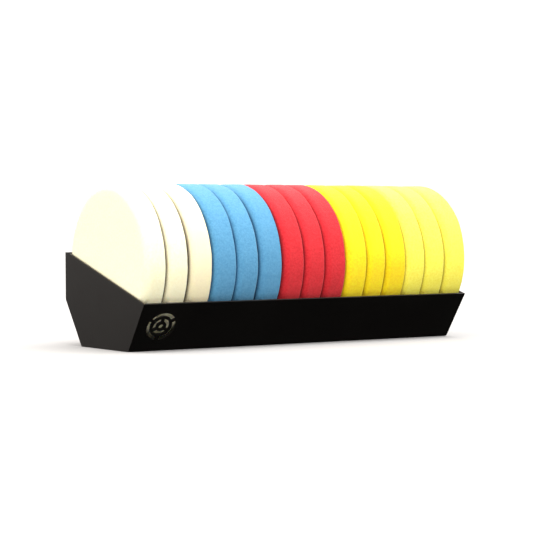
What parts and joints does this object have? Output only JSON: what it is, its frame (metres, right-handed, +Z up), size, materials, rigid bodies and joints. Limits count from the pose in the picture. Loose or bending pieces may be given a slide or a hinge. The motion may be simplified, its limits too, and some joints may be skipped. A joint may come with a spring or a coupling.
{
  "type": "polishing pad rack",
  "caption": "Wall rack of black powder-coated folded steel holding a row of round foam polishing pads on edge; each pad has a hook-and-loop back and lifts out upwards.",
  "frame": {"origin": "on the wall plane, the rear face of the tray's back, at the middle of the rack's length and level with its two screw holes", "axes": "+X along the rack to the right as seen from the room, +Y into the wall, +Z up"},
  "size_m": [0.3706, 0.152, 0.1528],
  "materials": {
    "black_powder_coat": "satin",
    "white_foam": "matte",
    "blue_foam": "matte",
    "red_foam": "matte",
    "gold_foam": "matte",
    "lemon_foam": "matte",
    "loop_cloth": "matte"
  },
  "bodies": {
    "rack": {"tray_sheet": "black_powder_coat", "left_end_plate": "black_powder_coat", "right_end_plate": "black_powder_coat"},
    "white_pad_1": {"white_pad_1_foam": "white_foam", "white_pad_1_loop": "loop_cloth"},
    "white_pad_2": {"white_pad_2_foam": "white_foam", "white_pad_2_loop": "loop_cloth"},
    "white_pad_3": {"white_pad_3_foam": "white_foam", "white_pad_3_loop": "loop_cloth"},
    "blue_pad_1": {"blue_pad_1_foam": "blue_foam", "blue_pad_1_loop": "loop_cloth"},
    "blue_pad_2": {"blue_pad_2_foam": "blue_foam", "blue_pad_2_loop": "loop_cloth"},
    "blue_pad_3": {"blue_pad_3_foam": "blue_foam", "blue_pad_3_loop": "loop_cloth"},
    "red_pad_1": {"red_pad_1_foam": "red_foam", "red_pad_1_loop": "loop_cloth"},
    "red_pad_2": {"red_pad_2_foam": "red_foam", "red_pad_2_loop": "loop_cloth"},
    "red_pad_3": {"red_pad_3_foam": "red_foam", "red_pad_3_loop": "loop_cloth"},
    "gold_pad_1": {"gold_pad_1_foam": "gold_foam", "gold_pad_1_loop": "loop_cloth"},
    "gold_pad_2": {"gold_pad_2_foam": "gold_foam", "gold_pad_2_loop": "loop_cloth"},
    "gold_pad_3": {"gold_pad_3_foam": "gold_foam", "gold_pad_3_loop": "loop_cloth"},
    "lemon_pad_1": {"lemon_pad_1_foam": "lemon_foam", "lemon_pad_1_loop": "loop_cloth"},
    "lemon_pad_2": {"lemon_pad_2_foam": "lemon_foam", "lemon_pad_2_loop": "loop_cloth"},
    "lemon_pad_3": {"lemon_pad_3_foam": "lemon_foam", "lemon_pad_3_loop": "loop_cloth"}
  },
  "joints": [
    {"name": "white_pad_1_lift", "type": "slide", "parent": "rack", "child": "white_pad_1", "axis": [0, 0, 1], "range_m": [0, 0.16]},
    {"name": "white_pad_2_lift", "type": "slide", "parent": "rack", "child": "white_pad_2", "axis": [0, 0, 1], "range_m": [0, 0.16]},
    {"name": "white_pad_3_lift", "type": "slide", "parent": "rack", "child": "white_pad_3", "axis": [0, 0, 1], "range_m": [0, 0.16]},
    {"name": "blue_pad_1_lift", "type": "slide", "parent": "rack", "child": "blue_pad_1", "axis": [0, 0, 1], "range_m": [0, 0.16]},
    {"name": "blue_pad_2_lift", "type": "slide", "parent": "rack", "child": "blue_pad_2", "axis": [0, 0, 1], "range_m": [0, 0.16]},
    {"name": "blue_pad_3_lift", "type": "slide", "parent": "rack", "child": "blue_pad_3", "axis": [0, 0, 1], "range_m": [0, 0.16]},
    {"name": "red_pad_1_lift", "type": "slide", "parent": "rack", "child": "red_pad_1", "axis": [0, 0, 1], "range_m": [0, 0.16]},
    {"name": "red_pad_2_lift", "type": "slide", "parent": "rack", "child": "red_pad_2", "axis": [0, 0, 1], "range_m": [0, 0.16]},
    {"name": "red_pad_3_lift", "type": "slide", "parent": "rack", "child": "red_pad_3", "axis": [0, 0, 1], "range_m": [0, 0.16]},
    {"name": "gold_pad_1_lift", "type": "slide", "parent": "rack", "child": "gold_pad_1", "axis": [0, 0, 1], "range_m": [0, 0.16]},
    {"name": "gold_pad_2_lift", "type": "slide", "parent": "rack", "child": "gold_pad_2", "axis": [0, 0, 1], "range_m": [0, 0.16]},
    {"name": "gold_pad_3_lift", "type": "slide", "parent": "rack", "child": "gold_pad_3", "axis": [0, 0, 1], "range_m": [0, 0.16]},
    {"name": "lemon_pad_1_lift", "type": "slide", "parent": "rack", "child": "lemon_pad_1", "axis": [0, 0, 1], "range_m": [0, 0.16]},
    {"name": "lemon_pad_2_lift", "type": "slide", "parent": "rack", "child": "lemon_pad_2", "axis": [0, 0, 1], "range_m": [0, 0.16]},
    {"name": "lemon_pad_3_lift", "type": "slide", "parent": "rack", "child": "lemon_pad_3", "axis": [0, 0, 1], "range_m": [0, 0.16]}
  ]
}
